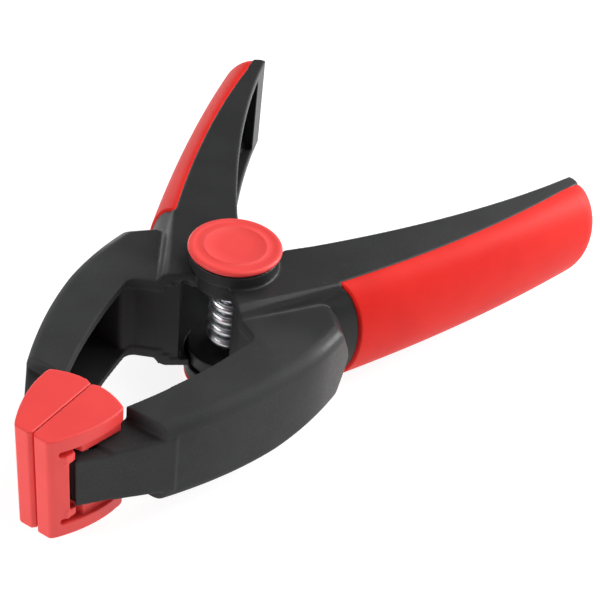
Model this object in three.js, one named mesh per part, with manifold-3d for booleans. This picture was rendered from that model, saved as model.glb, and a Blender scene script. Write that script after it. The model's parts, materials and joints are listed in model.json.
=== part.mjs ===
// One-hand spring clamp, closed, lying on its lower pivot cap.
// Millimetres. +X points along the jaws, +Z along the pivot axis, +Y to the right lever.
// Both levers are one moulding: the left lever, grip and jaw pad are the right ones turned
// half round about the X axis. Shapes are drawn about the middle plane, z = 0.

import * as THREE from 'three';
import { mergeVertices } from 'three/addons/utils/BufferGeometryUtils.js';
import Module from 'manifold-3d';

const wasm = await Module();
wasm.setup();

// ---------- driving dimensions ----------

const GAP = 0.3;              // clearance between pieces that touch
const PAD_GAP = 0.15;         // each clamping face stands this far off the middle plane

const HUB_TOP = 15.64;        // half height of the hub and the handles
const ARM_TOP = 13.4;         // half height of the arm over the pivot
const ARM_TAPER = 0.02;       // loss of half height for each millimetre of arm
const ARM_ROUND = 4;          // radius along the outer edges of the arm
const PLATE = 2.5;            // thickness of the top and bottom plates
const WALL = 2.6;             // thickness of the outer wall and the webs
const LIP = 0.8;              // the plates stand this far proud of the hub wall

const SHOULDER_X = -4;        // rear end of the arm, where the finger guard stops
const ARM_END_X = 56.8;       // front end of the full-height arm
const PLATE_TOE = [10.3, 5.3];
const WEB_END = [12, 7.5];    // the hub wall stops here, a little short of the plates' toe
const RIDGE_FRONT = [15.8, 12.4];
const RIDGE_REAR = [-8.2, 25];
const THROAT = [20.95, 16.7]; // centre of the rounded corner at the back of the jaws
const THROAT_R = 3;
const HANDLE_ROOT = [-20, 12.8];
const PLATE_HEEL = [-13.4, 7.1];
const HANDLE_TIP = [-100.6, 54.4];

const GRIP_FRONT_X = -8.5;    // front edge of the soft grip
const GRIP_REAR_X = -93;      // where the grip starts to close round the end of the handle
const GRIP_END_X = -100;
const GRIP_END_INSET = 6.5;
const GRIP_THICK = 2.2;

const EAR_R = 10.8;           // the ear that turns inside the other lever's plate
const EAR_INNER_Z = 11.2;
const EAR_OUTER_Z = 15.6;
const EAR_POCKET_R = 11.3;
const BOSS_R = 11.6;
const BOSS_INNER_Z = 15.95;
const BOSS_OUTER_Z = 19.3;
const SKIRT_R = 14.2;         // foot of the skirt that joins the boss to its lever
const CAP_POCKET_R = 8.4;     // hollow in the boss for the pin's head, closed by the cap
const CAP_POCKET_FLOOR_Z = 17.2;

const PIN_R = 2.5;
const HEAD_R = 4.5;
const HEAD_THICK = 1.5;
const CAP_TOP_R = 12.25;
const CAP_BOTTOM_R = 11.4;
const CAP_OUTER_Z = 21.5;     // half of the height over both caps
const CAP_THICK = 1.9;

const WIRE_R = 1.4;
const COIL_R = 4.4;           // mean radius of the coil
const COIL_TURNS = 4.806;     // five turns less the angle that sends the legs into the handles
const COIL_PITCH = 3.9;
const LEG_LENGTH = 41;        // straight legs that push the handles apart

const TRUNNION = [70.3, 5.2]; // axis of a jaw pad
const TRUNNION_R = 2.2;
const TONGUE_ROOT_TOP = 8.6;  // half height of the tongue at the arm
const TONGUE_TIP_TOP = 7.1;
const TONGUE_TIP = [73.2, 7.7];

const PAD_TOP = 15.375;       // half height of a jaw pad
const PAD_PLATE = 3.9;
const PAD_FACE = 2.2;         // thickness of the wall behind the clamping face
const PAD_FRONT = [78.6, 4.7];
const PAD_REAR_X = 57.4;
const PAD_BLOCK_X = 74.4;     // rear side of the pad's solid front block

// ---------- plan curves of the right lever: y as a function of x ----------

function parabola([x0, y0], [x1, y1], [x2, y2]) {
  const slope = (y1 - y0) / (x1 - x0);
  const bend = ((y2 - y1) / (x2 - x1) - slope) / (x2 - x0);
  return x => y0 + slope * (x - x0) + bend * (x - x0) * (x - x1);
}

function line([x0, y0], [x1, y1]) {
  return x => y0 + (y1 - y0) * (x - x0) / (x1 - x0);
}

const handleInner = parabola(HANDLE_ROOT, [-50, 31], HANDLE_TIP);
const gripEdge = parabola([-10, 26], [-50, 43.1], [-98, 57.4]);
const gripOuter = parabola([-10, 34.6], [-50, 51.4], [-100, 68.6]);
const armOuter = parabola([3, 35.2], [30, 31.9], [57, 20.4]);
const jawInner = parabola([21.7, 19.6], [40, 14.8], [57, 8.6]);
const ridge = line(RIDGE_FRONT, RIDGE_REAR);
const padOuter = parabola(PAD_FRONT, [70, 9.2], [60.6, 10.8]);

const armTop = x => ARM_TOP - ARM_TAPER * x;

// ---------- helpers ----------

function steps(from, to, count) {
  return Array.from({ length: count + 1 }, (_, i) => from + (to - from) * i / count);
}

function arc(cx, cy, rx, ry, fromDegrees, toDegrees, count) {
  return steps(fromDegrees, toDegrees, count).map(degrees => {
    const angle = THREE.MathUtils.degToRad(degrees);
    return [cx + rx * Math.cos(angle), cy + ry * Math.sin(angle)];
  });
}

// The rounded corner at the back of the jaws, or a wall face set back from it.
const throatArc = setBack => {
  return arc(...THROAT, THROAT_R + setBack, THROAT_R + setBack, 156, 76, 5);
};

// Inner edge of the arm's plates.
function armInner(x) {
  const corner = throatArc(0);
  if (x >= corner.at(-1)[0]) return jawInner(x);
  const next = corner.findIndex(point => point[0] > x);
  if (next > 0) return line(corner[next - 1], corner[next])(x);
  if (x > RIDGE_FRONT[0]) return line(RIDGE_FRONT, corner[0])(x);
  return ridge(x) - 2;
}

// The same points below the middle plane, in the order that carries the outline on.
const mirrored = points => points.map(([y, z]) => [y, -z]).reverse();

function toManifold(geometry) {
  const bare = geometry.clone();
  bare.deleteAttribute('normal');
  bare.deleteAttribute('uv');
  const merged = mergeVertices(bare, 1e-5);
  return new wasm.Manifold(new wasm.Mesh({
    numProp: 3,
    vertProperties: new Float32Array(merged.attributes.position.array),
    triVerts: new Uint32Array(merged.index.array),
  }));
}

function toGeometry(solid) {
  const mesh = solid.getMesh();
  const geometry = new THREE.BufferGeometry();
  geometry.setAttribute('position', new THREE.BufferAttribute(mesh.vertProperties, 3));
  geometry.setIndex(new THREE.BufferAttribute(mesh.triVerts, 1));
  geometry.computeVertexNormals();
  return geometry;
}

const union = solids => solids.reduce((sum, next) => sum.add(next));

// Closed body through sections that stand across the X axis: { x, ring of [y, z] points }.
function loft(sections) {
  const rings = sections.toSorted((a, b) => a.x - b.x).map(({ x, ring }) => {
    const outline = ring.map(([y, z]) => new THREE.Vector2(y, z));
    return { x, outline: THREE.ShapeUtils.isClockWise(outline) ? outline.reverse() : outline };
  });
  const count = rings[0].outline.length;
  const last = (rings.length - 1) * count;
  const index = [];
  for (let start = 0; start < last; start += count) {
    for (let i = 0; i < count; i++) {
      const a = start + i;
      const b = start + (i + 1) % count;
      index.push(a, b, b + count, a, b + count, a + count);
    }
  }
  for (const [a, b, c] of THREE.ShapeUtils.triangulateShape(rings[0].outline, [])) {
    index.push(c, b, a);
  }
  for (const face of THREE.ShapeUtils.triangulateShape(rings.at(-1).outline, [])) {
    index.push(...face.map(corner => last + corner));
  }
  const positions = rings.flatMap(({ x, outline }) => outline.flatMap(p => [x, p.x, p.y]));
  const geometry = new THREE.BufferGeometry();
  geometry.setAttribute('position', new THREE.Float32BufferAttribute(positions, 3));
  geometry.setIndex(index);
  return toManifold(geometry);
}

function prism(outline, bottom, top) {
  const shape = new THREE.Shape(outline.map(([x, y]) => new THREE.Vector2(x, y)));
  const geometry = new THREE.ExtrudeGeometry(shape, { depth: top - bottom, bevelEnabled: false });
  return toManifold(geometry.translate(0, 0, bottom));
}

// Two like prisms, one above and one below the middle plane.
function prismPair(outline, inner, outer) {
  return prism(outline, inner, outer).add(prism(outline, -outer, -inner));
}

// Solid of revolution about the Z axis: [radius, z] points that climb the outside, and start and
// end on the axis or close on themselves.
function turnedGeometry(profile, sides = 48) {
  const geometry = new THREE.LatheGeometry(profile.map(([r, z]) => new THREE.Vector2(r, z)), sides);
  return geometry.rotateX(Math.PI / 2);
}

function disc(radius, bottom, top, [x, y] = [0, 0], sides = 48) {
  const profile = [[0, bottom], [radius, bottom], [radius, top], [0, top]];
  return toManifold(turnedGeometry(profile, sides).translate(x, y, 0));
}

// The point moved square to the line from a to b, to its left side.
function besideLine(a, b, [x, y], distance) {
  const along = new THREE.Vector2(b[0] - a[0], b[1] - a[1]).normalize();
  return [x - along.y * distance, y + along.x * distance];
}

// ---------- sections ----------

// Outer edge of an arm section, from the upper inner corner to the lower one.
function armEdge(inner, outer, top, round) {
  const upper = [[inner, top], ...arc(outer - round, top - round, round, round, 90, 0, 4)];
  return [...upper, ...mirrored(upper)];
}

// C section, open towards the middle plane.
function channelRing(inner, outer, top, round, wall, plate) {
  const under = top - plate;
  const hollow = [[inner, -under], [outer - wall, -under], [outer - wall, under], [inner, under]];
  return [...armEdge(inner, outer, top, round), ...hollow];
}

// Outside of the handle: flat plates up to the grip's edge and a rounded back under the grip.
function handleEdge(inner, edge, outer) {
  const back = arc(edge, 0, outer - GRIP_THICK - edge, HUB_TOP - GRIP_THICK, 90, -90, 12);
  return [[inner, HUB_TOP], [edge, HUB_TOP], ...back, [edge, -HUB_TOP], [inner, -HUB_TOP]];
}

function handleRing(inner, edge, outer) {
  const under = HUB_TOP - PLATE;
  const backDepth = outer - GRIP_THICK - WALL - edge;
  const backZ = HUB_TOP - GRIP_THICK - PLATE;
  const hollow = arc(edge, 0, backDepth, backZ, -90, 90, 12);
  return [...handleEdge(inner, edge, outer), [inner, -under], [edge - 2, -under], ...hollow,
    [edge - 2, under], [inner, under]];
}

function gripRing(edge, outer) {
  const flat = edge + GAP;
  const seatZ = HUB_TOP - GRIP_THICK + GAP;
  const outside = arc(flat, 0, outer - flat, HUB_TOP, 90, -90, 14);
  const inside = arc(flat, 0, outer - GRIP_THICK + GAP - flat, seatZ, -90, 90, 14);
  return [...outside, ...inside];
}

// ---------- lever ----------

function makeArm() {
  const corner = throatArc(0).map(([x]) => x);
  const stations = [2, 8, RIDGE_FRONT[0], ...corner, 27, 34, 42, 50, ARM_END_X];
  const round = ARM_ROUND;
  const channel = loft(stations.map(x => {
    return { x, ring: channelRing(armInner(x), armOuter(x), armTop(x), round, WALL, PLATE) };
  }));
  // The finger guard: the closed, rounded rear end of the arm.
  const guard = loft(steps(SHOULDER_X, 3, 5).map(x => {
    const drawnIn = 0.06 * Math.max(0, 1 - x) ** 2;
    return { x, ring: armEdge(armInner(x), armOuter(x) - drawnIn, armTop(x) - drawnIn / 4, round) };
  }));
  return channel.add(guard);
}

function makeTongue() {
  const outer = line([ARM_END_X, armOuter(ARM_END_X)], TONGUE_TIP);
  const inner = line([ARM_END_X, jawInner(ARM_END_X)], [TRUNNION[0], TRUNNION[1] - 1]);
  const top = line([ARM_END_X, TONGUE_ROOT_TOP], [TONGUE_TIP[0], TONGUE_TIP_TOP]);
  const channel = loft([ARM_END_X - 2, ARM_END_X + 5, TRUNNION[0] - 4].map(x => {
    return { x, ring: channelRing(inner(x), outer(x), top(x), 0.8, 3.4, 2) };
  }));
  const slabRear = TRUNNION[0] - 5;
  const slab = [
    [slabRear, outer(slabRear) - 4.5],
    [TRUNNION[0] + 1, TRUNNION[1]],
    TONGUE_TIP,
    [slabRear, outer(slabRear) - 0.4],
  ];
  const trunnion = disc(TRUNNION_R, -TONGUE_TIP_TOP, TONGUE_TIP_TOP, TRUNNION, 24);
  return union([channel, prism(slab, -TONGUE_TIP_TOP, TONGUE_TIP_TOP), trunnion]);
}

function makeHandle() {
  const endX = GRIP_REAR_X + GAP;
  const inner = x => Math.max(handleInner(x), HANDLE_ROOT[1]);
  const stations = [...steps(endX, HANDLE_ROOT[0], 9), -12, -4, 3];
  const channel = loft(stations.map(x => {
    return { x, ring: handleRing(inner(x), gripEdge(x), gripOuter(x)) };
  }));
  const endWall = loft([endX, endX + WALL].map(x => {
    return { x, ring: handleEdge(inner(x), gripEdge(x), gripOuter(x)) };
  }));
  const shelf = [endX + 1, -96, -98.8].map(x => [x, gripEdge(x) - GAP]);
  const corner = [[endX + 1, handleInner(endX + 1)], ...shelf, HANDLE_TIP];
  return union([channel, endWall, prism(corner, -HUB_TOP, HUB_TOP)]);
}

function makeHub() {
  const outline = [PLATE_TOE, RIDGE_FRONT, RIDGE_REAR, [RIDGE_REAR[0], 22], [HANDLE_ROOT[0], 22],
    HANDLE_ROOT, PLATE_HEEL];
  const plates = prismPair(outline, HUB_TOP - PLATE, HUB_TOP);
  const beside = (point, distance) => besideLine(PLATE_TOE, RIDGE_FRONT, point, distance);
  const turn = [beside(RIDGE_FRONT, LIP), beside(RIDGE_FRONT, LIP + WALL)];
  const hubWeb = [beside(WEB_END, LIP), ...turn, beside(WEB_END, LIP + WALL)];
  const jawWeb = [turn[0], ...throatArc(LIP), ...throatArc(LIP + WALL).reverse(), turn[1]];
  const crossX = THROAT[0] + 1;
  const crossTop = armOuter(crossX) - 1;
  const crossWeb = [[crossX - WALL, 21], [crossX, 21], [crossX, crossTop], [crossX - WALL, crossTop]];
  const webTop = armTop(crossX) - 1;
  return union([
    plates,
    prism(hubWeb, 1 - HUB_TOP, HUB_TOP - 1),
    prism(jawWeb, -webTop, webTop),
    prism(crossWeb, -webTop, webTop),
  ]);
}

function makeEar() {
  const link = [PLATE_TOE, [11, 12], [0, 15], [-9, 12], PLATE_HEEL, [-9, 5.7], [9, 4]];
  return disc(EAR_R, -EAR_OUTER_Z, -EAR_INNER_Z).add(prism(link, -EAR_OUTER_Z, -EAR_INNER_Z));
}

function makeBoss() {
  const skirtFoot = HUB_TOP - PLATE;
  const skirt = toManifold(turnedGeometry([
    [0, skirtFoot], [SKIRT_R, skirtFoot], [SKIRT_R, HUB_TOP], [BOSS_R + 1, 16.4], [BOSS_R, 18], [0, 18],
  ]));
  const ownPlan = [PLATE_TOE, RIDGE_FRONT, [0, 30], HANDLE_ROOT, PLATE_HEEL, [0, 2]];
  const ownSide = prism(ownPlan, 0, CAP_OUTER_Z);
  return disc(BOSS_R, BOSS_INNER_Z, BOSS_OUTER_Z).add(skirt.intersect(ownSide));
}

function makeLever() {
  const earPocket = disc(EAR_POCKET_R, -EAR_INNER_Z, BOSS_INNER_Z);
  const body = union([makeArm(), makeTongue(), makeHandle(), makeHub(), makeBoss()]);
  const pinHole = disc(PIN_R + GAP, -CAP_OUTER_Z, CAP_OUTER_Z, [0, 0], 32);
  const capPocket = disc(CAP_POCKET_R, CAP_POCKET_FLOOR_Z, CAP_OUTER_Z);
  return body.subtract(earPocket).add(makeEar()).subtract(pinHole).subtract(capPocket);
}

// ---------- grip ----------

function makeGrip() {
  const shell = loft(steps(GRIP_REAR_X, GRIP_FRONT_X, 10).map(x => {
    return { x, ring: gripRing(gripEdge(x), gripOuter(x)) };
  }));
  const end = loft(steps(0, 90, 5).map(degrees => {
    const angle = THREE.MathUtils.degToRad(degrees);
    const inset = GRIP_END_INSET * (1 - Math.cos(angle));
    const x = GRIP_REAR_X + (GRIP_END_X - GRIP_REAR_X) * Math.sin(angle);
    const flat = gripEdge(x) + GAP;
    return { x, ring: arc(flat, 0, gripOuter(x) - inset - flat, HUB_TOP - inset / 4, 90, -90, 14) };
  }));
  return shell.add(end);
}

// ---------- jaw pad ----------

function makePad() {
  const side = steps(PAD_FRONT[0], 60.6, 5).map(x => [x, padOuter(x)]);
  const outline = [[PAD_FRONT[0], PAD_GAP], ...side, [59.5, 10.2], [58.4, 7.6], [57.7, 5],
    [PAD_REAR_X, 2.2], [PAD_REAR_X + 0.5, PAD_GAP]];
  const inside = PAD_TOP - PAD_PLATE;
  const seatY = PAD_GAP + PAD_FACE;
  const seat = arc(TRUNNION[0], TRUNNION[1], TRUNNION_R + 0.5, TRUNNION_R + 0.6, -90, 0, 4);
  const hollow = prism([
    [PAD_REAR_X - 1, seatY], ...seat, [PAD_BLOCK_X, 5.8], [PAD_BLOCK_X, 12], [PAD_REAR_X - 1, 12],
  ], -inside, inside);
  const windowInner = inside - 1.6;
  const windowRear = PAD_BLOCK_X - 1;
  const windowFront = PAD_BLOCK_X + 2;
  const window = [[windowRear, 4.2], [windowFront, 4.2], [windowFront, 9], [windowRear, 9]];
  const fingerRoot = PAD_BLOCK_X + 1;
  const finger = [[PAD_BLOCK_X - 2.2, 6.1], [fingerRoot, 4.4], [fingerRoot, padOuter(fingerRoot)],
    [PAD_BLOCK_X - 1.6, padOuter(PAD_BLOCK_X) + 0.2]];
  const rail = [[59.8, 6.6], [67.6, 6.2], [67.6, 8.2], [60.8, 9.8]];
  return prism(outline, -PAD_TOP, PAD_TOP)
    .subtract(hollow)
    .subtract(prismPair(window, windowInner, inside))
    .add(prismPair(finger, windowInner - 2.4, windowInner))
    .add(prismPair(rail, inside - 2.4, inside + 1));
}

// ---------- pieces on the pivot axis ----------

function makePin() {
  const headZ = CAP_POCKET_FLOOR_Z + GAP;
  const endZ = headZ + HEAD_THICK;
  const chamfer = 0.5;
  return turnedGeometry([
    [0, -endZ], [PIN_R - chamfer, -endZ], [PIN_R, chamfer - endZ], [PIN_R, headZ], [HEAD_R, headZ],
    [HEAD_R, endZ - chamfer], [HEAD_R - chamfer, endZ], [0, endZ],
  ], 32);
}

// Push-on ring that holds the lower end of the pin.
function makeRetainer() {
  const seatZ = -CAP_POCKET_FLOOR_Z - GAP;
  const bore = PIN_R + 0.1;
  return turnedGeometry([
    [bore, seatZ - 1], [bore + 0.8, seatZ - 1], [HEAD_R, seatZ - 0.6], [HEAD_R, seatZ], [bore, seatZ],
    [bore, seatZ - 1],
  ], 32);
}

// A disc with a rounded rim and a ring that snaps into the boss.
function makeCap(radius) {
  const rimR = 0.7;
  const innerZ = CAP_OUTER_Z - CAP_THICK;
  const ringOuter = CAP_POCKET_R - GAP;
  const ringInner = ringOuter - 1.4;
  const ringEnd = CAP_POCKET_FLOOR_Z + GAP;
  const rim = arc(radius - rimR, CAP_OUTER_Z - rimR, rimR, rimR, 0, 90, 3);
  return turnedGeometry([
    [0, innerZ], [ringInner, innerZ], [ringInner, ringEnd], [ringOuter, ringEnd], [ringOuter, innerZ],
    [radius, innerZ], ...rim, [0, CAP_OUTER_Z],
  ]);
}

// ---------- spring ----------

// Centre line of the torsion spring: leg, coil, leg.
class SpringPath extends THREE.Curve {
  constructor() {
    super();
    this.turn = COIL_TURNS * 2 * Math.PI;
    this.coilLength = Math.hypot(this.turn * COIL_R, COIL_TURNS * COIL_PITCH);
    this.total = this.coilLength + 2 * LEG_LENGTH;
  }

  coilPoint(angle) {
    const a = angle - this.turn / 2;
    const rise = a / (2 * Math.PI) * COIL_PITCH;
    return new THREE.Vector3(COIL_R * Math.cos(a), -COIL_R * Math.sin(a), rise);
  }

  getPoint(t, target = new THREE.Vector3()) {
    const s = t * this.total - LEG_LENGTH;
    const onCoil = THREE.MathUtils.clamp(s / this.coilLength, 0, 1) * this.turn;
    const past = s < 0 ? s : Math.max(0, s - this.coilLength);
    const a = onCoil - this.turn / 2;
    const tangent = new THREE.Vector3(-Math.sin(a), -Math.cos(a), 0);
    return target.copy(this.coilPoint(onCoil)).addScaledVector(tangent, past);
  }
}

function makeSpring() {
  const ring = arc(0, 0, WIRE_R, WIRE_R, 0, 315, 7).map(([x, y]) => new THREE.Vector2(x, y));
  return new THREE.ExtrudeGeometry(new THREE.Shape(ring), {
    steps: 110,
    extrudePath: new SpringPath(),
    bevelEnabled: false,
  });
}

// ---------- assembly ----------

const clamp = new THREE.Group();

function addPiece(name, geometry, color, roughness, metalness = 0) {
  const mesh = new THREE.Mesh(geometry, new THREE.MeshStandardMaterial({ color, roughness, metalness }));
  mesh.name = name;
  clamp.add(mesh);
  return mesh;
}

function addPair(name, solid, color, roughness) {
  const geometry = toGeometry(solid);
  addPiece(`${name}_right`, geometry, color, roughness);
  addPiece(`${name}_left`, geometry, color, roughness).rotation.x = Math.PI;
}

const BLACK_NYLON = 0x323335;
const RED_GRIP = 0xe23a34;
const RED_NYLON = 0xee4a46;
const STEEL = 0xb8bcc0;

addPair('lever', makeLever(), BLACK_NYLON, 0.5);
addPair('grip', makeGrip(), RED_GRIP, 0.6);
addPair('jaw_pad', makePad(), RED_NYLON, 0.45);
addPiece('pivot_pin', makePin(), STEEL, 0.3, 1);
addPiece('pin_retainer', makeRetainer(), STEEL, 0.35, 1);
addPiece('cap_top', makeCap(CAP_TOP_R), RED_NYLON, 0.4);
addPiece('cap_bottom', makeCap(CAP_BOTTOM_R), RED_NYLON, 0.4).rotation.x = Math.PI;
addPiece('torsion_spring', makeSpring(), STEEL, 0.25, 1);

clamp.position.z = CAP_OUTER_Z;

export default clamp;
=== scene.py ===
import json
import math

import bmesh
import bpy
import numpy as np
from mathutils import Matrix, Vector


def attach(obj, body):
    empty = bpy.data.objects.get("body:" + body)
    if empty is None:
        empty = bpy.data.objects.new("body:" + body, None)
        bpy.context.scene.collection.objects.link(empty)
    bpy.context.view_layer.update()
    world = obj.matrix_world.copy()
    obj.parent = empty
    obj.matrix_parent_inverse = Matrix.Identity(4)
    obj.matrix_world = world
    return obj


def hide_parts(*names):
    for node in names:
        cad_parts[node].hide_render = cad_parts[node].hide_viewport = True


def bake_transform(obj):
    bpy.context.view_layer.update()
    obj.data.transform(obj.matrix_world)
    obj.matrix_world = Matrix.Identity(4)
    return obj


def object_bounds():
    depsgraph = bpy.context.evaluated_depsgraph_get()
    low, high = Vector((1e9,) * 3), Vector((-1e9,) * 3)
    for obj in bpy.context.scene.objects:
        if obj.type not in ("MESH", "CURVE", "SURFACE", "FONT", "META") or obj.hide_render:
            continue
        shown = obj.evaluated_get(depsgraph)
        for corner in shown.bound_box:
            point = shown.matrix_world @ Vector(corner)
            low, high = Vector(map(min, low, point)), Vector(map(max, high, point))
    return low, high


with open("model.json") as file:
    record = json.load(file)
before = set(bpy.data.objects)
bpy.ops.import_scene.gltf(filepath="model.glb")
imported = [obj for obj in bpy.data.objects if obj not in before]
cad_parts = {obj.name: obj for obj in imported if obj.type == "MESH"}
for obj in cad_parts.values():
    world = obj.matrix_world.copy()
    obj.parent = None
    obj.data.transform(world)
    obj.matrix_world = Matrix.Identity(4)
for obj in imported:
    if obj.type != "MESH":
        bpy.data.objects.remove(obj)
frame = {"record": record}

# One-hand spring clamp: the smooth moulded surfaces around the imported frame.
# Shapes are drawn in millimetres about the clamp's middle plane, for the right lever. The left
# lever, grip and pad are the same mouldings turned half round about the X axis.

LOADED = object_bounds()

HINGE = next(j for j in frame["record"]["behaviour"]["joints"] if j["name"] == "clamp_hinge")
PIVOT_Z = HINGE["pos_m"][2]
PLACE = Matrix.Translation((0, 0, PIVOT_Z)) @ Matrix.Scale(0.001, 4)
TURNED = PLACE @ Matrix.Rotation(math.pi, 4, "X")

# ---------- dimensions, mm; points in plan are (x, y) ----------

# hub plates and the soft step from them down to the arm
HUB_TOP = 15.64
PLATE = 2.5
PLATE_TOE = (10.3, 5.3)
PLATE_BREAK = (14.2, 10.3)
PLATE_HEEL = (-13.4, 7.1)
PLATE_INNER_Y = 22
RIDGE_FRONT = (15.8, 12.4)
RIDGE_REAR = (-8.2, 25.0)
SLOPE_FRONT = 3.5
SLOPE_REAR = 2.0

# arm: its top falls off past the facet line, its rear end is cut to the shoulder face, which is
# given as (height, distance out from the shoulder point), and the throat is the round at the hub
ARM_TOP = 13.4
ARM_TAPER = 0.02
ARM_ROUND = 3.6
ARM_END_X = 56.8
WALL = 2.6
FACET_LINE = ((13.0, 13.0), (23.0, 27.5))
FACET_FALL = 0.065
SHOULDER_X = -4.0
SHOULDER_ROUND = 0.8
SHOULDER_POINT = (-0.6, 30.3)
SHOULDER_ALONG = (0.729, 0.685)
SHOULDER_FACE = ((14.2, -4.1), (12.3, -0.3), (10.3, 1.7), (4, 4.1), (0, 5.2))
THROAT = (20.83, 15.95)
THROAT_R = 3.0
THROAT_START = 153.4
THROAT_END = 77.7
JAW_ROOT = (21.47, 18.88)

# webs that close the hub and the throat
LIP = 0.35
WEB_END = (12.0, 7.5)
WEB_ROUND = 1.8
HUB_WEB_SINK = 2.4
JAW_WEB_SINK = 1.2

# handle and grip
HANDLE_ROOT = (-20.0, 12.1)
HANDLE_TIP = (-100.6, 54.4)
HANDLE_FRONT_X = 3.0
COLLAR_END_X = -3.0
COLLAR_DEPTH = 0.7
GRIP_FRONT_X = -10.2
GRIP_REAR_X = -93.0
GRIP_END_X = -100.0
GRIP_END_INSET = 6.5
GRIP_THICK = 2.2
GRIP_LAP = 0.4

# ear, boss, pin and caps; FIT is the gap between pieces that plug together
FIT = 0.3
EAR_R = 10.8
EAR_INNER_Z = 11.2
EAR_OUTER_Z = 15.6
POCKET_R = 11.3
BOSS_R = 11.6
BOSS_INNER_Z = 15.95
BOSS_OUTER_Z = 19.3
SKIRT_R = 11.9
CAP_POCKET_R = 8.4
CAP_POCKET_FLOOR = 17.2
CAP_TOP_R = 12.25
CAP_BOTTOM_R = 11.4
CAP_OUTER_Z = 21.5
CAP_THICK = 1.9
CAP_RELIEF = 0.12
PIN_R = 2.5
HEAD_R = 4.5

# spring
WIRE_R = 1.4
COIL_R = 4.4
COIL_TURNS = 4.806
COIL_PITCH = 3.9
LEG_LENGTH = 41.0

# tongue, trunnion and jaw pad
TRUNNION = (70.3, 5.2)
TRUNNION_R = 2.2
TONGUE_ROOT_TOP = 8.6
TONGUE_TIP_TOP = 7.1
TONGUE_TIP = (73.2, 7.7)
TONGUE_SKIN = 2.0
PAD_GAP = 0.15
PAD_TOP = 15.375
PAD_PLATE = 3.9
PAD_FACE = 2.2
PAD_FRONT = (78.6, 4.7)
PAD_REAR_X = 57.4
PAD_BLOCK_X = 74.4
PAD_WINDOW = 1.6

# the photo's camera
LENS = 74.0
SENSOR = 36.0
CAMERA_AT = Vector((221.0, 131.7, 206.0))
AZIMUTH, ELEVATION, ROLL = math.radians(26.73), math.radians(37.88), math.radians(-7.38)

# ---------- plan curves of the right lever: y as a function of x ----------


def parabola(a, b, c):
    """The parabola through three points."""
    slope = (b[1] - a[1]) / (b[0] - a[0])
    bend = ((c[1] - b[1]) / (c[0] - b[0]) - slope) / (c[0] - a[0])
    return lambda x: a[1] + slope * (x - a[0]) + bend * (x - a[0]) * (x - b[0])


def line(a, b):
    """The straight line through two points."""
    return lambda x: a[1] + (b[1] - a[1]) * (x - a[0]) / (b[0] - a[0])


handle_inner = parabola(HANDLE_ROOT, (-50, 31), HANDLE_TIP)
grip_edge = parabola((-10, 26), (-50, 43.1), (-98, 57.4))
grip_outer = parabola((-10, 34.6), (-50, 51.4), (-100, 68.6))
arm_outer = parabola((3, 35.2), (30, 31.9), (57, 20.4))
jaw_inner = parabola(JAW_ROOT, (40, 14.7), (57, 8.6))
plate_edge = line(PLATE_BREAK, RIDGE_REAR)
pad_outer = parabola(PAD_FRONT, (70, 9.2), (60.6, 10.8))


def arm_top(x):
    return ARM_TOP - ARM_TAPER * x


def handle_edge(x):
    """Where the handle's flat plate ends and its rounded back begins."""
    return grip_edge(x) if x < GRIP_FRONT_X else min(grip_edge(x), plate_edge(x) - 0.3)


# ---------- mesh helpers ----------


def arc(cx, cy, rx, ry, start, end, count):
    """Points on an ellipse, from one angle to another in degrees."""
    angles = np.radians(np.linspace(start, end, count + 1))
    return [(cx + rx * math.cos(a), cy + ry * math.sin(a)) for a in angles]


def mirrored(points):
    """The lower half of a section whose upper half is given."""
    return [(y, -z) for y, z in reversed(points)]


def side_of(a, b, p):
    """How far p lies to the left of the line from a to b."""
    length = math.hypot(b[0] - a[0], b[1] - a[1])
    return ((b[0] - a[0]) * (p[1] - a[1]) - (b[1] - a[1]) * (p[0] - a[0])) / length


def beside(a, b, p, distance):
    """The point that lies the distance to the left of p, as seen along the line from a to b."""
    length = math.hypot(b[0] - a[0], b[1] - a[1])
    return (p[0] - (b[1] - a[1]) / length * distance, p[1] + (b[0] - a[0]) / length * distance)


def new_object(name, vertices, faces):
    mesh = bpy.data.meshes.new(name)
    mesh.from_pydata([tuple(v) for v in vertices], [], faces)
    bm = bmesh.new()
    bm.from_mesh(mesh)
    bmesh.ops.remove_doubles(bm, verts=bm.verts, dist=1e-5)
    bmesh.ops.triangulate(bm, faces=[f for f in bm.faces if len(f.verts) > 4])
    bmesh.ops.recalc_face_normals(bm, faces=bm.faces)
    bm.to_mesh(mesh)
    bm.free()
    obj = bpy.data.objects.new(name, mesh)
    bpy.context.scene.collection.objects.link(obj)
    return obj


def skin(name, rings):
    """Closed body through rings of 3-D points, all with the same count."""
    count = len(rings[0])
    vertices = [p for ring in rings for p in ring]
    faces = []
    for low in range(0, len(vertices) - count, count):
        for i in range(count):
            a, b = low + i, low + (i + 1) % count
            faces.append((a, b, b + count, a + count))
    faces.append(tuple(range(count)))
    faces.append(tuple(range(len(vertices) - 1, len(vertices) - count - 1, -1)))
    return new_object(name, vertices, faces)


def loft(sections):
    """Closed body through sections (x, ring of (y, z)) that stand across the X axis."""
    return skin("loft", [[(x, y, z) for y, z in ring] for x, ring in sections])


def prism(outline, bottom, top):
    return skin("prism", [[(x, y, z) for x, y in outline] for z in (bottom, top)])


def prism_pair(outline, inner, outer):
    return [prism(outline, inner, outer), prism(outline, -outer, -inner)]


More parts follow.
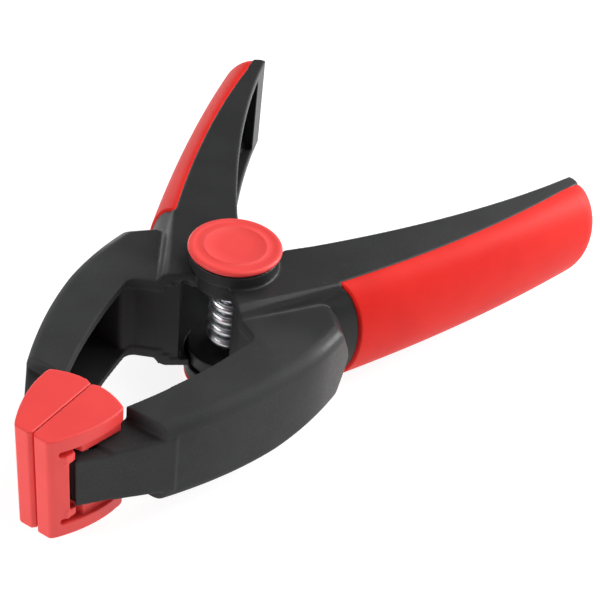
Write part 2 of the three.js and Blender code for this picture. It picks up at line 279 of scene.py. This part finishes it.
def turned(profile, centre=(0, 0), sides=128):
    """Solid of revolution about an upright axis through centre; the profile is (radius, z)."""
    vertices, faces, rings = [], [], []
    for r, z in profile:
        if r < 1e-6:
            rings.append([len(vertices)])
            vertices.append((centre[0], centre[1], z))
            continue
        rings.append(list(range(len(vertices), len(vertices) + sides)))
        for i in range(sides):
            a = 2 * math.pi * i / sides
            vertices.append((centre[0] + r * math.cos(a), centre[1] + r * math.sin(a), z))
    closed = profile[0][0] > 1e-6
    pairs = list(zip(rings, rings[1:])) + ([(rings[-1], rings[0])] if closed else [])
    for low, high in pairs:
        for i in range(sides):
            corners = [low[i % len(low)], low[(i + 1) % len(low)]]
            corners += [high[(i + 1) % len(high)], high[i % len(high)]]
            unique = list(dict.fromkeys(corners))
            if len(unique) > 2:
                faces.append(tuple(unique))
    return new_object("turned", vertices, faces)


def disc(radius, bottom, top, centre=(0, 0), sides=128):
    return turned([(0, bottom), (radius, bottom), (radius, top), (0, top)], centre, sides)


def evaluated(obj):
    """The object with its modifiers made final."""
    bpy.context.view_layer.update()
    graph = bpy.context.evaluated_depsgraph_get()
    mesh = bpy.data.meshes.new_from_object(obj.evaluated_get(graph))
    obj.modifiers.clear()
    obj.data = mesh
    return obj


def combine(base, tools, operation):
    for tool in tools:
        modifier = base.modifiers.new("cut", "BOOLEAN")
        modifier.operation = operation
        modifier.solver = "MANIFOLD"
        modifier.object = tool
        evaluated(base)
        bpy.data.objects.remove(tool)
    return base


def join(base, *tools):
    return combine(base, tools, "UNION")


def cut(base, *tools):
    return combine(base, tools, "DIFFERENCE")


def keep(base, tool):
    return combine(base, [tool], "INTERSECT")


def soften(obj, voxel, passes, share):
    """Melts the joined solids into one moulding with small fillets, and keeps a share of its faces."""
    melt = obj.modifiers.new("melt", "REMESH")
    melt.mode = "VOXEL"
    melt.voxel_size = voxel
    relax = obj.modifiers.new("relax", "SMOOTH")
    relax.factor = 0.5
    relax.iterations = passes
    thin = obj.modifiers.new("thin", "DECIMATE")
    thin.ratio = share
    return evaluated(obj)


# ---------- lever ----------


def throat_arc(set_back, end=THROAT_END, count=16):
    radius = THROAT_R + set_back
    return arc(*THROAT, radius, radius, THROAT_START, end, count)


def arm_section(x):
    """Outer section of the arm. Near its rear end the section shrinks, which rounds the edge."""
    back = max(0.0, SHOULDER_X + SHOULDER_ROUND - x) / SHOULDER_ROUND
    inset = SHOULDER_ROUND * (1 - math.sqrt(max(0.0, 1 - back * back)))
    top, outer = arm_top(x) - inset * 0.55, arm_outer(x) - inset
    crest = arc(outer - ARM_ROUND, top - ARM_ROUND, ARM_ROUND, ARM_ROUND, 90, 0, 14)
    inner = [(y, top) for y in np.linspace(4, outer - ARM_ROUND, 22)[:-1]]
    upper = []
    for y, z in inner + crest:
        behind = side_of(*FACET_LINE, (x, y))
        upper.append((y, z - FACET_FALL * max(0.0, behind)))
    return upper + mirrored(upper)


def shoulder_cut(sign):
    """Wedge that takes the arm's rear end down to a face leaning back to the middle plane."""
    along = SHOULDER_ALONG
    out = (-along[1], along[0])
    rings = []
    for z, offset in SHOULDER_FACE:
        ring = []
        for reach, end in ((0, 8), (0, -8), (14, -8), (14, 8)):
            away = offset + reach
            x = SHOULDER_POINT[0] + along[0] * end + out[0] * away
            y = SHOULDER_POINT[1] + along[1] * end + out[1] * away
            ring.append((x, y, sign * z))
        rings.append(ring)
    return skin("wedge", rings)


def make_arm():
    """The arm outside the hub: a box section with its sides cut to plan and its inside hollow."""
    xs = list(SHOULDER_X + SHOULDER_ROUND * (1 - np.cos(np.linspace(0, math.pi / 2, 9))))
    xs += list(np.linspace(SHOULDER_X + SHOULDER_ROUND, ARM_END_X, 70))[1:]
    arm = loft([(x, arm_section(x)) for x in xs])
    jaw = [(x, jaw_inner(x)) for x in np.linspace(JAW_ROOT[0], 57, 30)]
    rear = (RIDGE_REAR[0], RIDGE_REAR[1] - 3)
    front = (RIDGE_FRONT[0] - 1.2, RIDGE_FRONT[1] - 1.4)
    plan = [rear, front, RIDGE_FRONT, *throat_arc(0), *jaw, (70, 3), (70, 60), (RIDGE_REAR[0], 60)]
    arm = keep(arm, prism(plan, -30, 30))
    arm = cut(arm, shoulder_cut(1), shoulder_cut(-1))
    hollow = []
    for x in np.linspace(3, ARM_END_X - 2, 40):
        extra = 0.6 if x < 20 else 0  # the plate is thicker behind the throat
        under = arm_top(x) - PLATE - extra
        far = arm_outer(x) - WALL
        hollow.append((x, [(-5, -under), (far, -under), (far, under), (-5, under)]))
    return cut(arm, loft(hollow))


def tongue_section(x):
    """Inner edge, outer edge, top and outline of the tongue, which carries the trunnion."""
    outer = line((ARM_END_X, arm_outer(ARM_END_X)), TONGUE_TIP)(x)
    inner = line((ARM_END_X, jaw_inner(ARM_END_X)), (TRUNNION[0], TRUNNION[1] - 1))(x)
    top = line((ARM_END_X, TONGUE_ROOT_TOP), (TONGUE_TIP[0], TONGUE_TIP_TOP))(x)
    edge = arc(outer - 0.8, top - 0.8, 0.8, 0.8, 90, 0, 6)
    upper = [(inner, top), *edge]
    return inner, outer, top, upper + mirrored(upper)


def make_tongue():
    """The tongue with its trunnion, and the hollow that is cut from it and the arm's end."""
    stations = (ARM_END_X - 2, ARM_END_X + 5, TRUNNION[0] - 4)
    body = loft([(x, tongue_section(x)[3]) for x in stations])
    hollow = []
    for x in (ARM_END_X - 5, TRUNNION[0] - 4.8):
        _, outer, top, _ = tongue_section(x)
        far, under = outer - 3, top - TONGUE_SKIN
        hollow.append((x, [(0, -under), (far, -under), (far, under), (0, under)]))
    slab_x = TRUNNION[0] - 5
    outer = tongue_section(slab_x)[1]
    tip = [(slab_x, outer - 4.5), (TRUNNION[0] + 1, TRUNNION[1]), TONGUE_TIP, (slab_x, outer)]
    trunnion = disc(TRUNNION_R, -TONGUE_TIP_TOP, TONGUE_TIP_TOP, TRUNNION, 48)
    body = join(body, prism(tip, -TONGUE_TIP_TOP, TONGUE_TIP_TOP), trunnion)
    return body, loft(hollow)


def handle_section(x, under=GRIP_THICK):
    """Outer section of the handle, lying a little under the grip's surface."""
    edge = handle_edge(x)
    back = arc(edge, 0, grip_outer(x) - under - edge, HUB_TOP - under, 90, 0, 20)
    upper = [(handle_inner(min(x, HANDLE_ROOT[0])), HUB_TOP), (edge, HUB_TOP), *back]
    return upper + mirrored(upper)[1:]


def handle_hollow(x):
    """Section of the open channel inside the handle."""
    edge = handle_edge(x)
    depth = grip_outer(x) - GRIP_THICK - WALL - edge
    back = arc(edge, 0, depth, HUB_TOP - GRIP_THICK - PLATE, 90, 0, 20)
    upper = [(-10, HUB_TOP - PLATE), (edge - 2, HUB_TOP - PLATE), *back]
    return upper + mirrored(upper)[1:]


def make_handle():
    """The handle and its collar in front of the grip, and the channel that is cut from them."""
    end_x = GRIP_REAR_X - GRIP_LAP
    body = loft([(x, handle_section(x)) for x in np.linspace(end_x, HANDLE_FRONT_X, 80)])
    channel = np.linspace(end_x + WALL, HANDLE_FRONT_X + 0.5, 60)
    shelf = [(x, grip_edge(x) + GRIP_LAP) for x in np.linspace(end_x + 1, -98.8, 8)]
    corner = [(end_x + 1, handle_inner(end_x + 1)), *shelf, (-100.2, 56.2), HANDLE_TIP]
    depth = line((GRIP_FRONT_X, COLLAR_DEPTH), (COLLAR_END_X, GRIP_THICK))
    stations = np.linspace(GRIP_FRONT_X, COLLAR_END_X, 20)
    collar = loft([(x, handle_section(x, depth(x))) for x in stations])
    handle = join(body, collar, prism(corner, -HUB_TOP, HUB_TOP))
    return handle, loft([(x, handle_hollow(x)) for x in channel])


def hub_plates():
    """The hub's flat plates, which run on into the handle."""
    collar = (GRIP_FRONT_X, grip_edge(GRIP_FRONT_X))
    outline = [PLATE_TOE, PLATE_BREAK, RIDGE_REAR, collar, (GRIP_FRONT_X, PLATE_INNER_Y)]
    outline += [(HANDLE_ROOT[0], PLATE_INNER_Y), HANDLE_ROOT, PLATE_HEEL]
    return prism_pair(outline, HUB_TOP - PLATE, HUB_TOP)


def ridge_slope(sign):
    """The soft step from the hub's plate down to the arm, trimmed flush with the throat."""
    front_x = PLATE_BREAK[0] + 2.5
    rings = []
    # each end: place, reach of the step, reach of its rounded crest, depth of its foot in the arm
    for x, width, bend, sink in (
        (front_x, SLOPE_FRONT, 2.1, 0.3),
        (GRIP_FRONT_X, SLOPE_REAR, 0.6, 1.2),
    ):
        p = (x, plate_edge(x))
        hidden, crest, foot = (beside(PLATE_BREAK, RIDGE_REAR, p, d) for d in (1, -bend, -width))
        low = arm_top(x) - sink
        ring = [(*hidden, HUB_TOP), (*p, HUB_TOP), (*crest, HUB_TOP - bend * 0.45)]
        ring += [(*foot, low), (*foot, low - 1), (*hidden, low - 1)]
        rings.append([(a, b, sign * z) for a, b, z in ring])
    plan = [PLATE_TOE, PLATE_BREAK, RIDGE_FRONT, *throat_arc(0), (22, 40), (-20, 40), (-20, 5)]
    return keep(skin("slope", rings), prism(plan, -30, 30))


def webs():
    """Upright walls behind the hub's front edge and round the throat's corner."""
    turn = [beside(PLATE_TOE, RIDGE_FRONT, RIDGE_FRONT, d) for d in (LIP, LIP + WALL)]
    ends = [beside(PLATE_TOE, RIDGE_FRONT, WEB_END, d) for d in (LIP, LIP + WALL)]
    hub_web = [ends[0], turn[0], turn[1], ends[1]]
    x = THROAT[0] + 0.7
    far = arm_outer(x) - 2.2
    corner = arc(x - WEB_ROUND, 21, WEB_ROUND, WEB_ROUND, -70, 0, 6)
    jaw_web = [turn[0], *throat_arc(LIP, 104), *corner, (x, far), (x - WALL, far)]
    jaw_web += [(x - WALL, 22), *throat_arc(LIP + WALL, 120)[::-1], turn[1]]
    hub_top = HUB_TOP - HUB_WEB_SINK
    jaw_top = arm_top(x) - JAW_WEB_SINK
    return [prism(hub_web, -hub_top, hub_top), prism(jaw_web, -jaw_top, jaw_top)]


def make_boss():
    """The round boss under the cap, with a hollow fillet at its foot."""
    foot, shelf = HUB_TOP - 0.5, BOSS_OUTER_Z - 0.7
    radius = SKIRT_R - BOSS_R
    fillet = [(SKIRT_R - radius * math.sin(a), HUB_TOP + radius * (1 - math.cos(a)))
              for a in np.radians(np.linspace(0, 90, 12))]
    skirt = turned([(0, foot), (SKIRT_R, foot), *fillet, (BOSS_R, shelf), (0, shelf)])
    own = [PLATE_TOE, RIDGE_FRONT, (0, 30), HANDLE_ROOT, PLATE_HEEL, (0, 2)]
    skirt = keep(skirt, prism(own, 0, CAP_OUTER_Z))
    return join(skirt, disc(BOSS_R, BOSS_INNER_Z, BOSS_OUTER_Z))


def make_lever():
    """Arm, handle and hub half as one moulding, with the ear that holds the pin's lower end."""
    tongue, tongue_hollow = make_tongue()
    handle, channel = make_handle()
    front = cut(join(make_arm(), tongue), tongue_hollow)
    lever = join(front, cut(handle, channel), *hub_plates(), ridge_slope(1), ridge_slope(-1), *webs())
    lever = cut(lever, disc(POCKET_R, -EAR_INNER_Z, BOSS_INNER_Z))
    link = [PLATE_TOE, (11, 12), (0, 15), (-9, 12), PLATE_HEEL, (-9, 5.7), (9, 4)]
    ear = join(disc(EAR_R, -EAR_OUTER_Z, -EAR_INNER_Z), prism(link, -EAR_OUTER_Z, -EAR_INNER_Z))
    lever = join(lever, ear, make_boss())
    lever = cut(lever, disc(PIN_R + FIT, -CAP_OUTER_Z, CAP_OUTER_Z))
    lever = cut(lever, disc(CAP_POCKET_R, CAP_POCKET_FLOOR, CAP_OUTER_Z))
    return soften(lever, 0.32, 5, 0.35)


# ---------- grip ----------


def make_grip():
    """A shell round the handle's back, closed by a rounded end."""
    sections = []
    thick = GRIP_THICK + GRIP_LAP
    for x in np.linspace(GRIP_REAR_X, GRIP_FRONT_X, 90):
        flat = grip_edge(x) - GRIP_LAP
        outside = arc(flat, 0, grip_outer(x) - flat, HUB_TOP, 90, -90, 56)
        inside = arc(flat, 0, grip_outer(x) - thick - flat, HUB_TOP - thick, -90, 90, 40)
        sections.append((x, outside + inside))
    shell = loft(sections)
    sections = []
    for a in np.linspace(0, math.pi / 2, 14):
        inset = GRIP_END_INSET * (1 - math.cos(a))
        x = GRIP_REAR_X + (GRIP_END_X - GRIP_REAR_X) * math.sin(a)
        flat = grip_edge(x) - GRIP_LAP
        ring = arc(flat, 0, grip_outer(x) - inset - flat, HUB_TOP - inset / 4, 90, -90, 56)
        sections.append((x, ring))
    return soften(join(shell, loft(sections)), 0.32, 3, 0.4)


# ---------- jaw pad ----------


def make_pad():
    """A block with a face plate, top and bottom plates, and room for the tongue between them."""
    side = [(x, pad_outer(x)) for x in np.linspace(PAD_FRONT[0] - 1.2, 60.8, 20)]
    outline = [(PAD_FRONT[0] - 0.9, PAD_GAP), (PAD_FRONT[0], PAD_GAP + 0.8), (PAD_FRONT[0], 4.2)]
    outline += [(PAD_FRONT[0] - 0.3, 4.75), *side, (60.2, 10.75)]
    outline += [(59.6, 10.3), (58.9, 8.8), (58.3, 7.2), (57.8, 5.4), (57.5, 3.6), (PAD_REAR_X, 1.8)]
    outline += [(PAD_REAR_X + 0.6, PAD_GAP)]
    inside = PAD_TOP - PAD_PLATE
    seat = arc(*TRUNNION, TRUNNION_R + 0.4, TRUNNION_R + 0.5, -90, 0, 12)
    seat_y = PAD_GAP + PAD_FACE
    behind = PAD_REAR_X - 1
    room = [(behind, seat_y), *seat, (PAD_BLOCK_X, 5.8), (PAD_BLOCK_X, 12), (behind, 12)]
    pad = cut(prism(outline, -PAD_TOP, PAD_TOP), prism(room, -inside, inside))
    low = inside - PAD_WINDOW
    near, far = PAD_BLOCK_X - 1, PAD_BLOCK_X + 2
    window = [(near, 4.2), (far, 4.2), (far, 9), (near, 9)]
    pad = cut(pad, *prism_pair(window, low, inside))
    # the photo shows a finger beside each window and a rail under each plate
    edge = pad_outer(PAD_BLOCK_X)
    finger = [(PAD_BLOCK_X - 2.2, 6.1), (PAD_BLOCK_X + 1, 4.4), (PAD_BLOCK_X + 1, edge - 0.2)]
    finger += [(PAD_BLOCK_X - 1.6, edge + 0.2)]
    rail = [(59.8, 6.6), (71.2, 5.6), (70.8, pad_outer(70.8) - 1.1), (60.4, pad_outer(61) - 0.4)]
    pad = join(pad, *prism_pair(finger, low - 2.4, low), *prism_pair(rail, inside - 3.1, inside + 1))
    return soften(pad, 0.22, 4, 0.5)


# ---------- pieces on the pivot axis ----------


def make_cap(radius):
    """A cap with a stem that plugs into the boss and a shallow ring pressed into its face."""
    rim = 0.75
    inner, sunk = CAP_OUTER_Z - CAP_THICK, CAP_OUTER_Z - CAP_RELIEF
    stem, floor = CAP_POCKET_R - FIT, CAP_POCKET_FLOOR + FIT
    bore = stem - 1.4
    edge = arc(radius - rim, CAP_OUTER_Z - rim, rim, rim, -70, 90, 14)
    profile = [(0, inner), (bore, inner), (bore, floor), (stem, floor), (stem, inner)]
    profile += [(radius - 0.9, inner), *edge]
    profile += [(radius - 1.6, CAP_OUTER_Z), (radius - 1.9, sunk), (radius - 2.6, sunk)]
    profile += [(8.6, sunk), (8.35, CAP_OUTER_Z), (7.95, CAP_OUTER_Z), (7.7, sunk)]
    profile += [(4, sunk), (0, sunk)]
    return turned(profile, sides=192)


def make_pin():
    head = CAP_POCKET_FLOOR + FIT
    end = head + 1.5
    return turned([
        (0, -end), (PIN_R - 0.5, -end), (PIN_R - 0.15, 0.15 - end), (PIN_R, 0.5 - end), (PIN_R, head),
        (HEAD_R - 0.2, head), (HEAD_R, head + 0.2), (HEAD_R, end - 0.5), (HEAD_R - 0.15, end - 0.15),
        (HEAD_R - 0.5, end), (0, end),
    ], sides=64)


def make_retainer():
    seat = -CAP_POCKET_FLOOR - FIT
    bore = PIN_R + 0.1
    return turned([
        (bore, seat - 1), (bore + 0.8, seat - 1), (HEAD_R, seat - 0.6), (HEAD_R, seat), (bore, seat),
    ], sides=64)


def make_spring():
    """A round wire along a coil, with a straight leg from each of its ends."""
    turn = COIL_TURNS * 2 * math.pi
    coil = math.hypot(turn * COIL_R, COIL_TURNS * COIL_PITCH)
    total = coil + 2 * LEG_LENGTH
    steps, sides = ((520, 20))

    def centre(t):
        s = t * total - LEG_LENGTH
        a = min(max(s / coil, 0), 1) * turn - turn / 2
        past = s if s < 0 else max(0.0, s - coil)
        p = Vector((COIL_R * math.cos(a), -COIL_R * math.sin(a), a / (2 * math.pi) * COIL_PITCH))
        return p + Vector((-math.sin(a), -math.cos(a), 0)) * past

    points = [centre(i / steps) for i in range(steps + 1)]
    angles = [2 * math.pi * k / sides for k in range(sides)]
    rings = []
    for i, p in enumerate(points):
        along = (points[min(i + 1, steps)] - points[max(i - 1, 0)]).normalized()
        across = along.cross(Vector((0, 0, 1))).normalized()
        up = across.cross(along)
        rings.append([p + (across * math.cos(a) + up * math.sin(a)) * WIRE_R for a in angles])
    return skin("spring", rings)


# ---------- materials ----------


class Nodes:
    """A new material and the short forms used to wire its nodes."""

    def __init__(self, name):
        self.material = bpy.data.materials.new(name)
        self.material.use_nodes = True
        self.tree = self.material.node_tree
        self.shader = self.tree.nodes["Principled BSDF"]
        self.place = self.add("ShaderNodeTexCoord").outputs["Object"]

    def add(self, kind, **inputs):
        node = self.tree.nodes.new(kind)
        for key, value in inputs.items():
            self.set(node, key.replace("_", " "), value)
        return node

    def set(self, node, key, value):
        if isinstance(value, bpy.types.NodeSocket):
            self.tree.links.new(value, node.inputs[key])
        else:
            node.inputs[key].default_value = value

    def noise(self, scale, detail=2, rough=0.5, stretch=None):
        place = self.place
        if stretch:
            mapping = self.add("ShaderNodeMapping", Vector=place, Scale=stretch)
            place = mapping.outputs["Vector"]
        node = self.add("ShaderNodeTexNoise", Vector=place, Scale=scale, Detail=detail,
                        Roughness=rough)
        return node.outputs["Fac"]

    def span(self, value, low, high, to_low=0.0, to_high=1.0):
        node = self.add("ShaderNodeMapRange", Value=value, From_Min=low, From_Max=high,
                        To_Min=to_low, To_Max=to_high)
        return node.outputs["Result"]

    def maths(self, operation, a, b):
        node = self.tree.nodes.new("ShaderNodeMath")
        node.operation = operation
        self.set(node, 0, a)
        self.set(node, 1, b)
        return node.outputs[0]

    def mix(self, factor, a, b):
        node = self.tree.nodes.new("ShaderNodeMix")
        node.data_type = "RGBA"
        self.set(node, 0, factor)
        self.set(node, 6, (*a, 1) if isinstance(a, tuple) else a)
        self.set(node, 7, (*b, 1) if isinstance(b, tuple) else b)
        return node.outputs[2]

    def bump(self, height, strength, distance):
        node = self.add("ShaderNodeBump", Height=height, Strength=strength, Distance=distance)
        return node.outputs["Normal"]

    def finish(self, **inputs):
        for key, value in inputs.items():
            self.set(self.shader, key.replace("_", " "), value)
        return self.material


def black_nylon():
    """Moulded nylon: sheen on the handles and hub, and a coarser texture on the jaws, whose colour is
    made paler as painted light so that their tops look brighter lit.
    """
    n = Nodes("black_nylon")
    grain = n.noise(2600, 3, 0.6)
    mottle = n.span(n.noise(90, 3), 0.35, 0.65)
    smooth_colour = n.mix(mottle, (0.0115, 0.0117, 0.0122), (0.0155, 0.0158, 0.0164))
    # painted light: the jaws' colour is paler than the hub's so that their tops look brighter lit
    lit_jaw_colour = n.mix(mottle, (0.019, 0.0193, 0.0202), (0.024, 0.0244, 0.0255))
    along = n.add("ShaderNodeSeparateXYZ", Vector=n.place).outputs["X"]
    # mask from hub to jaws: it sets the jaws' coarser roughness and their paler, painted-light colour
    jaw_rough_and_lit = n.span(along, 0.008, 0.018)
    colour = n.mix(jaw_rough_and_lit, smooth_colour, lit_jaw_colour)
    patches = n.span(n.noise(70, 2), 0.45, 0.65)
    specks = n.span(n.noise(1900, 2), 0.6, 0.72)
    colour = n.mix(n.maths("MULTIPLY", specks, patches), colour, (0.032, 0.033, 0.036))
    rough = n.maths("ADD", n.span(grain, 0.3, 0.7, 0.34, 0.48), n.maths("MULTIPLY", jaw_rough_and_lit, 0.28))
    return n.finish(Base_Color=colour, Roughness=rough, Normal=n.bump(grain, 0.16, 0.0002),
                    Specular_IOR_Level=0.28)


def red_plastic(name, dark, bright, rough, shine, grain_scale, grain_strength):
    """Red plastic with broad, faint changes of colour and a fine grain."""
    n = Nodes(name)
    grain = n.noise(grain_scale, 3, 0.6)
    colour = n.mix(n.span(n.noise(55, 3), 0.35, 0.65), dark, bright)
    roughness = n.span(grain, 0.3, 0.7, rough - 0.05, rough + 0.06)
    normal = n.bump(grain, grain_strength, 0.0002)
    return n.finish(Base_Color=colour, Roughness=roughness, Normal=normal,
                    Specular_IOR_Level=shine)


def steel():
    """Drawn wire and turned steel, with faint streaks."""
    n = Nodes("steel")
    drawn = n.noise(900, 3, 0.6, (1, 1, 0.12))
    colour = n.mix(drawn, (0.68, 0.7, 0.73), (0.86, 0.88, 0.9))
    return n.finish(Base_Color=colour, Roughness=n.span(drawn, 0.3, 0.7, 0.28, 0.4),
                    Metallic=1.0, Normal=n.bump(drawn, 0.08, 0.0001))


def floor_paper():
    """White paper: the glow keeps it white, and the grey under it keeps the shadows faint."""
    n = Nodes("floor_paper")
    shade = n.mix(n.noise(3, 2), (0.3, 0.3, 0.3), (0.2955, 0.2955, 0.2955))
    return n.finish(Base_Color=shade, Roughness=0.8, Emission_Color=(1, 1, 1, 1),
                    Emission_Strength=0.85)


# ---------- assembly ----------

BLACK = black_nylon()
GRIP_RED = red_plastic("soft_grip", dark=(0.62, 0.012, 0.008), bright=(0.68, 0.017, 0.011),
                       rough=0.5, shine=0.12, grain_scale=2200, grain_strength=0.12)
PAD_RED = red_plastic("red_nylon", dark=(0.72, 0.042, 0.038), bright=(0.77, 0.05, 0.045),
                      rough=0.45, shine=0.42, grain_scale=3000, grain_strength=0.08)
STEEL = steel()


def show(source, name, node, body, material, turned_over=False):
    """A finished piece that stands for a CAD node and rides on its body."""
    obj = bpy.data.objects.new(name, source.data.copy())
    obj.data.name = name
    obj.data.transform(TURNED if turned_over else PLACE)
    obj.data.materials.clear()
    obj.data.materials.append(material)
    bpy.context.scene.collection.objects.link(obj)
    if body:
        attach(obj, body)
    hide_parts(node)
    return obj


def smooth(obj, degrees=35):
    """Smooth shading that keeps edges sharper than the angle."""
    bm = bmesh.new()
    bm.from_mesh(obj.data)
    limit = math.radians(degrees)
    for face in bm.faces:
        face.smooth = True
    for edge in bm.edges:
        edge.smooth = len(edge.link_faces) == 2 and edge.calc_face_angle(0) < limit
    bm.to_mesh(obj.data)
    bm.free()
    return obj


def pair(source, name, material, bodies):
    """The right piece, and the left one as the same moulding turned half round."""
    for side, body, over in (("right", bodies[0], False), ("left", bodies[1], True)):
        show(source, f"{name}_{side}_looks", f"{name}_{side}", body, material, over)
    bpy.data.objects.remove(source)


def single(source, name, material, body, turned_over=False):
    """A piece that is there once."""
    obj = show(source, f"{name}_looks", name, body, material, turned_over)
    bpy.data.objects.remove(source)
    return obj


LEVERS = ("right_lever", "left_lever")
pair(smooth(make_lever(), 180), "lever", BLACK, LEVERS)
pair(smooth(make_grip(), 180), "grip", GRIP_RED, LEVERS)
pair(smooth(make_pad(), 180), "jaw_pad", PAD_RED, ("right_pad", "left_pad"))
single(smooth(make_cap(CAP_TOP_R)), "cap_top", PAD_RED, LEVERS[0])
single(smooth(make_cap(CAP_BOTTOM_R)), "cap_bottom", PAD_RED, LEVERS[1], True)
single(smooth(make_pin()), "pivot_pin", STEEL, LEVERS[0])
single(smooth(make_retainer()), "pin_retainer", STEEL, LEVERS[0])
spring = single(smooth(make_spring(), 60), "torsion_spring", STEEL, None)
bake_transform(spring)

# ---------- studio, in metres ----------

FLOOR_SIZE = 12
FLOOR_DROP = 0.0002
LIGHTS = (  # name, place, size, power in watts
    ("overhead", (-0.4, 0.2, 0.7), (0.7, 0.6), 5.0),
    ("front", (0.65, -0.3, 0.3), (0.5, 0.4), 3.4),
    ("back_right", (-0.5, 0.44, 0.26), (0.3, 0.3), 4.4),
    ("left", (-0.28, -0.6, 0.16), (0.5, 0.25), 1.0),
    ("right", (0.1, 0.65, 0.35), (0.4, 0.3), 0.5),
    ("back", (-0.8, -0.05, 0.14), (0.6, 0.2), 0.9),
)


def make_floor():
    place = (0, 0, LOADED[0][2] - FLOOR_DROP)
    bpy.ops.mesh.primitive_plane_add(size=FLOOR_SIZE, location=place)
    obj = bpy.context.object
    obj.name = "floor"
    obj.data.materials.append(floor_paper())
    return obj


def area_light(name, place, size, power):
    """A rectangular light that faces the clamp."""
    data = bpy.data.lights.new(name, "AREA")
    data.shape = "RECTANGLE"
    data.size, data.size_y = size
    data.energy = power
    obj = bpy.data.objects.new(name, data)
    bpy.context.scene.collection.objects.link(obj)
    obj.location = place
    obj.rotation_mode = "QUATERNION"
    away = Vector(place) - Vector((0, 0, PIVOT_Z))
    obj.rotation_quaternion = away.to_track_quat("Z", "Y")


def surroundings():
    world = bpy.data.worlds.new("studio")
    world.use_nodes = True
    background = world.node_tree.nodes["Background"]
    background.inputs["Color"].default_value = (1, 1, 1, 1)
    background.inputs["Strength"].default_value = 0.18
    bpy.context.scene.world = world
    bpy.context.scene.view_settings.view_transform = "Standard"


floor = make_floor()
for light in LIGHTS:
    area_light(*light)
surroundings()

# ---------- camera ----------


def camera():
    """The photo's camera: looks down on the clamp from its front right, a little rolled."""
    forward = Vector((-math.cos(AZIMUTH) * math.cos(ELEVATION),
                      -math.sin(AZIMUTH) * math.cos(ELEVATION), -math.sin(ELEVATION)))
    level = Vector((-math.sin(AZIMUTH), math.cos(AZIMUTH), 0))
    down = forward.cross(level)
    right = level * math.cos(ROLL) + down * math.sin(ROLL)
    down = down * math.cos(ROLL) - level * math.sin(ROLL)
    data = bpy.data.cameras.new("camera")
    data.sensor_width = SENSOR
    data.lens = LENS
    data.clip_start, data.clip_end = 0.01, 20
    obj = bpy.data.objects.new("camera", data)
    bpy.context.scene.collection.objects.link(obj)
    axes = Matrix((right, -down, -forward)).transposed().to_4x4()
    obj.matrix_world = Matrix.Translation(PLACE @ CAMERA_AT) @ axes
    bpy.context.scene.camera = obj


camera()
